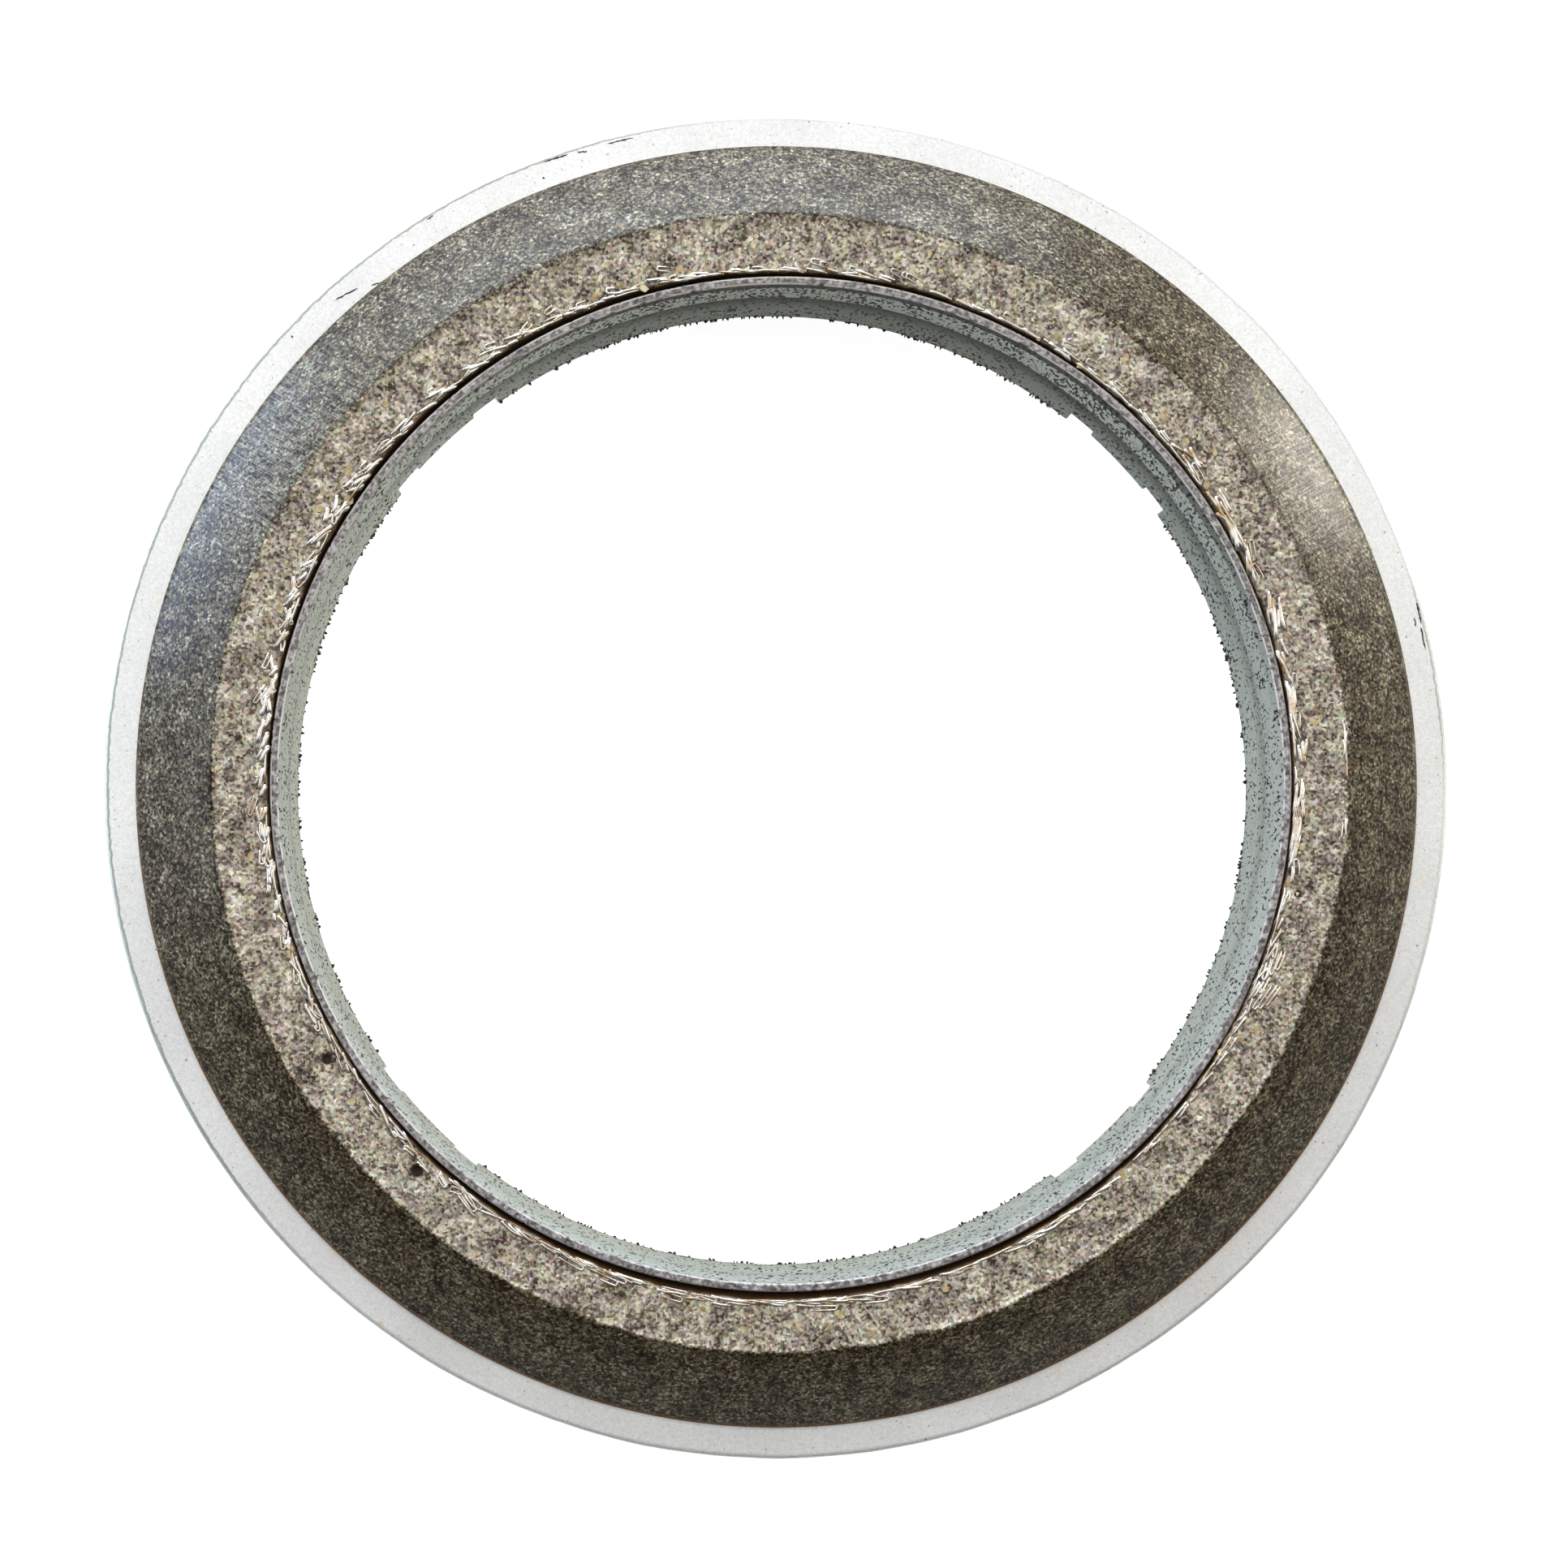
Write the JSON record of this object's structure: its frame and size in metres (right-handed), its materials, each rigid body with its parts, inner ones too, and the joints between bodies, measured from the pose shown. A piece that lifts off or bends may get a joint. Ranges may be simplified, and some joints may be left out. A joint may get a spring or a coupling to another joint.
{
  "type": "exhaust pipe flange gasket",
  "caption": "Round exhaust joint gasket: a pressed wire-mesh ring with a domed conical seat on a flat steel flange, round a thin sleeve with bent retaining tabs.",
  "frame": {"origin": "centre of the bore at the lower end of the sleeve, where the gasket stands", "axes": "+Z along the bore, towards the pressed sealing side; +X and +Y across it, with a retaining tab about 44 degrees round from +X"},
  "size_m": [0.0705, 0.0704, 0.0129],
  "materials": {
    "pressed_wire_mesh": "dark pressed knitted wire with mica and graphite filler, smooth on the seat and rough on the flat",
    "coated_flange_steel": "bright coated steel sheet, satin, with a few specks and scratches",
    "coated_sleeve_steel": "grey-green coated steel sheet with dark specks"
  },
  "bodies": {
    "root": {"sealing_ring": "pressed_wire_mesh", "flange_ring": "coated_flange_steel", "sleeve": "coated_sleeve_steel"}
  },
  "joints": []
}
